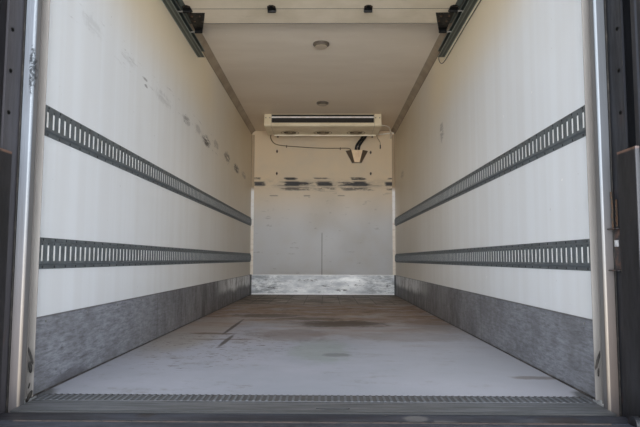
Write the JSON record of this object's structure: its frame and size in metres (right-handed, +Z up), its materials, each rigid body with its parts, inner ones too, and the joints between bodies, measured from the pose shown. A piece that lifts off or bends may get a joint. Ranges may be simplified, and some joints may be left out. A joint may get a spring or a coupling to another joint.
{
  "type": "refrigerated truck box body",
  "caption": "Insulated truck load box with tie rails, roof evaporator, overhead sectional door and column tail lift.",
  "frame": {"origin": "middle of the face under the subframe that seats on the truck chassis", "axes": "+Y forwards along the box, +Z up, +X to the right"},
  "size_m": [2.426, 8.735, 3.218],
  "materials": {
    "floor": "worn coating on plywood",
    "white_skin": "glass-fibre skin",
    "chassis_steel": "satin black paint",
    "stainless": "brushed",
    "sill_plate": "worn steel",
    "rib_strip": "dirty ribbed aluminium",
    "aluminium_trim": "mill finish",
    "galvanised": "dull galvanised",
    "aluminium_sheet": "scuffed sheet",
    "beige_trim": "satin",
    "lens": "frosted",
    "housing": "moulded",
    "fins": "dark fins",
    "black_plastic": "moulded",
    "hose_rubber": "foam insulation",
    "grey_plastic": "satin",
    "white_plastic": "satin",
    "door_skin": "satin cream",
    "black_steel": "satin black",
    "lamp_red": "moulded lens",
    "lamp_amber": "moulded lens",
    "lift_paint": "dark slate paint",
    "lift_black": "chipped black paint",
    "platform_steel": "worn dark deck"
  },
  "bodies": {
    "box_body": {"floor_panel": "floor", "left_wall": "white_skin", "right_wall": "white_skin", "bulkhead": "white_skin", "roof_panel": "white_skin", "subframe_rails": "chassis_steel", "subframe_ties": "chassis_steel", "cross_bearers": "chassis_steel", "chassis_brackets": "chassis_steel", "rear_left_post": "stainless", "rear_right_post": "stainless", "rear_header": "stainless", "rear_sill": "sill_plate", "threshold": "rib_strip", "base_rails": "aluminium_trim", "roof_rails": "aluminium_trim", "front_corners": "aluminium_trim", "left_tie_rails": "galvanised", "right_tie_rails": "galvanised", "side_kick_plates": "aluminium_sheet", "front_kick_plate": "aluminium_sheet", "coves": "beige_trim", "corner_strips": "beige_trim", "ceiling_lights": "lens", "evaporator_housing": "housing", "evaporator_vane": "aluminium_sheet", "evaporator_coil": "fins", "evaporator_fan_guards": "black_plastic", "condenser_housing": "housing", "condenser_fan_guards": "black_plastic", "pipe_cover": "aluminium_sheet", "refrigerant_hoses": "hose_rubber", "drain_pipe": "grey_plastic", "conduit": "white_plastic", "door_section_1": "door_skin", "door_section_2": "door_skin", "door_section_3": "door_skin", "door_section_4": "door_skin", "door_section_5": "door_skin", "door_hinges": "black_steel", "door_rollers": "grey_plastic", "top_brackets": "black_steel", "left_door_track": "galvanised", "right_door_track": "galvanised", "counterbalance": "galvanised", "rear_lamps": "lamp_red", "side_markers": "lamp_amber", "latch_bracket": "lift_black", "lift_left_column": "lift_paint", "lift_right_column": "lift_paint"},
    "evaporator_left_fan": {"evaporator_left_rotor": "black_plastic"},
    "evaporator_middle_fan": {"evaporator_middle_rotor": "black_plastic"},
    "evaporator_right_fan": {"evaporator_right_rotor": "black_plastic"},
    "condenser_left_fan": {"condenser_left_rotor": "black_plastic"},
    "condenser_right_fan": {"condenser_right_rotor": "black_plastic"},
    "lift_carriage": {"lift_left_runner": "lift_black", "lift_right_runner": "lift_black", "lift_beam": "lift_black"},
    "lift_platform": {"platform": "platform_steel"}
  },
  "joints": [
    {"name": "evaporator_left_fan_spin", "type": "hinge", "parent": "box_body", "child": "evaporator_left_fan", "pos_m": [-0.47, 2.575, 2.632], "axis": [0, 0, 1], "continuous": true},
    {"name": "evaporator_middle_fan_spin", "type": "hinge", "parent": "box_body", "child": "evaporator_middle_fan", "pos_m": [0, 2.575, 2.632], "axis": [0, 0, 1], "continuous": true},
    {"name": "evaporator_right_fan_spin", "type": "hinge", "parent": "box_body", "child": "evaporator_right_fan", "pos_m": [0.47, 2.575, 2.632], "axis": [0, 0, 1], "continuous": true},
    {"name": "condenser_left_fan_spin", "type": "hinge", "parent": "box_body", "child": "condenser_left_fan", "pos_m": [-0.4, 3.673, 2.25], "axis": [0, 1, 0], "continuous": true},
    {"name": "condenser_right_fan_spin", "type": "hinge", "parent": "box_body", "child": "condenser_right_fan", "pos_m": [0.4, 3.673, 2.25], "axis": [0, 1, 0], "continuous": true},
    {"name": "lift_travel", "type": "slide", "parent": "box_body", "child": "lift_carriage", "axis": [0, 0, 1], "range_m": [-0.96, 0]},
    {"name": "platform_fold", "type": "hinge", "parent": "lift_carriage", "child": "lift_platform", "pos_m": [0, -3.416, 0.254], "axis": [-1, 0, 0], "range_deg": [0, 90]}
  ]
}
